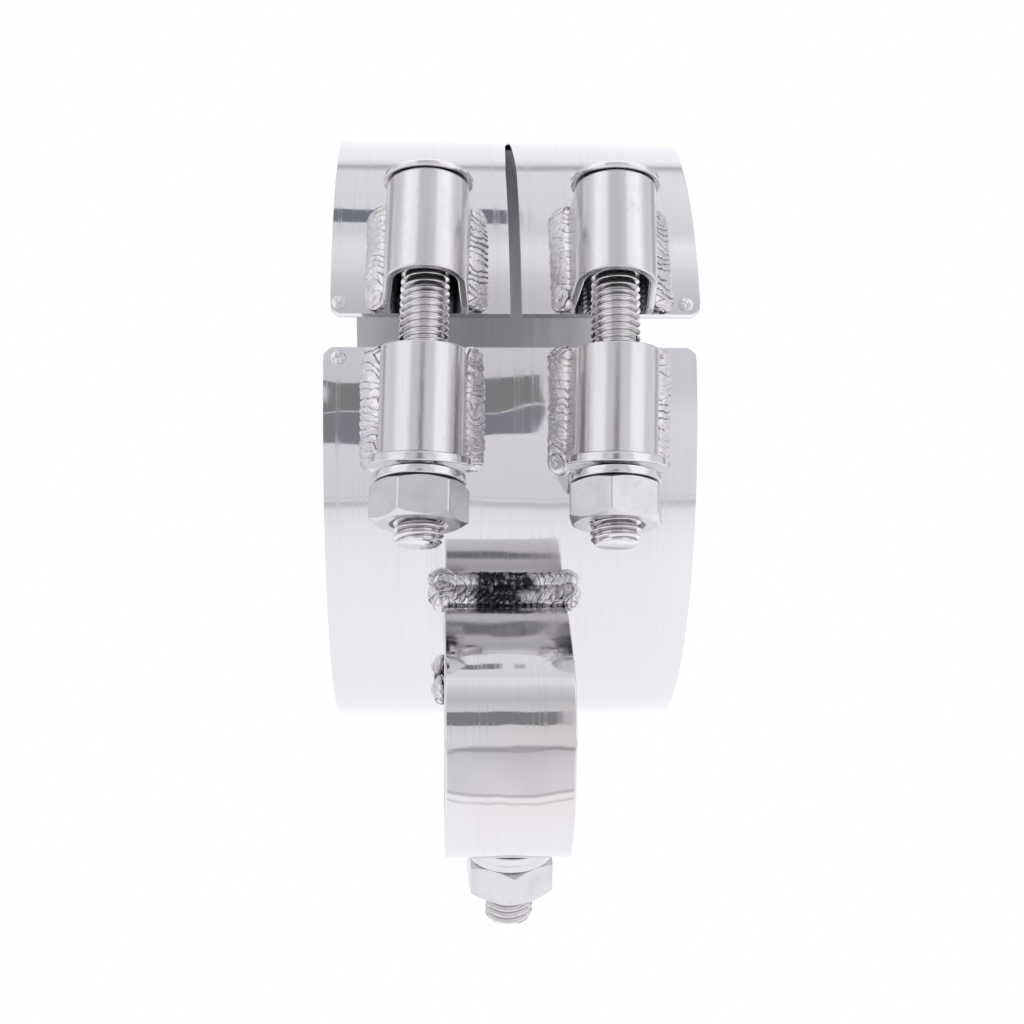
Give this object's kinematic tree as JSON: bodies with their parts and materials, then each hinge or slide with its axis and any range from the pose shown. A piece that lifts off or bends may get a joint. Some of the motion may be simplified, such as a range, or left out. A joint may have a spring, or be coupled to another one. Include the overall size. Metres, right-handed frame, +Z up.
{
  "type": "wide band exhaust clamp",
  "caption": "Slotted wide stainless band with tangential through bolts in welded saddles, and a welded hanger loop with its own bolt and nut.",
  "frame": {"origin": "middle of the band's bore, on the pipe's axis", "axes": "+X along the pipe, +Z up as pictured, -Y towards the gap and the bolts"},
  "size_m": [0.076, 0.1648, 0.1723],
  "materials": {
    "band_steel": "polished stainless strip with fine rolling grain",
    "saddle_steel": "polished stainless strip, formed",
    "loop_steel": "polished stainless strip, faintly tinted by welding",
    "weld_bead": "bright rippled weld metal",
    "tinted_weld": "rippled weld metal with dark heat tint",
    "bolt_steel": "bright stainless thread, slightly warm",
    "washer_steel": "bright stamped stainless",
    "nut_steel": "satin bright stainless"
  },
  "bodies": {
    "clamp": {"band": "band_steel", "saddle_upper_left": "saddle_steel", "saddle_upper_right": "saddle_steel", "saddle_lower_left": "saddle_steel", "saddle_lower_right": "saddle_steel", "bolt_left": "bolt_steel", "bolt_right": "bolt_steel", "hanger_loop": "loop_steel", "hanger_bolt": "bolt_steel", "welds_upper_left": "weld_bead", "welds_upper_right": "weld_bead", "welds_lower_left": "weld_bead", "welds_lower_right": "weld_bead", "loop_weld_front": "tinted_weld", "loop_weld_back": "tinted_weld", "corner_tacks": "weld_bead"},
    "washers_left": {"flat_washer_left": "washer_steel", "spring_washer_left": "washer_steel"},
    "washers_right": {"flat_washer_right": "washer_steel", "spring_washer_right": "washer_steel"},
    "washers_hanger": {"hanger_flat_washer": "washer_steel", "hanger_spring_washer": "washer_steel"},
    "nut_left": {"nut_left": "nut_steel"},
    "nut_right": {"nut_right": "nut_steel"},
    "nut_hanger": {"hanger_nut": "nut_steel"}
  },
  "joints": [
    {"name": "washers_left_slide", "type": "slide", "parent": "clamp", "child": "washers_left", "axis": [-0.0236, -0.2981, -0.9542], "range_m": [0, 0.00413]},
    {"name": "nut_left_turn", "type": "hinge", "parent": "washers_left", "child": "nut_left", "pos_m": [-0.01897, -0.08589, -0.01401], "axis": [-0.0236, -0.2981, -0.9542], "range_deg": [0, 900]},
    {"name": "washers_right_slide", "type": "slide", "parent": "clamp", "child": "washers_right", "axis": [-0.0236, -0.2981, -0.9542], "range_m": [0, 0.00413]},
    {"name": "nut_right_turn", "type": "hinge", "parent": "washers_right", "child": "nut_right", "pos_m": [0.01903, -0.08589, -0.01401], "axis": [-0.0236, -0.2981, -0.9542], "range_deg": [0, 900]},
    {"name": "washers_hanger_slide", "type": "slide", "parent": "clamp", "child": "washers_hanger", "axis": [0, 0.3256, -0.9455], "range_m": [0, 0.00825]},
    {"name": "nut_hanger_turn", "type": "hinge", "parent": "washers_hanger", "child": "nut_hanger", "pos_m": [-0.0003, -0.06074, -0.09119], "axis": [0, 0.3256, -0.9455], "range_deg": [0, 1800]}
  ],
  "couplings": [
    {"joint": "washers_left_slide", "follows": "nut_left_turn", "m_per_rad": 0.00023873},
    {"joint": "washers_right_slide", "follows": "nut_right_turn", "m_per_rad": 0.00023873},
    {"joint": "washers_hanger_slide", "follows": "nut_hanger_turn", "m_per_rad": 0.00023873}
  ]
}
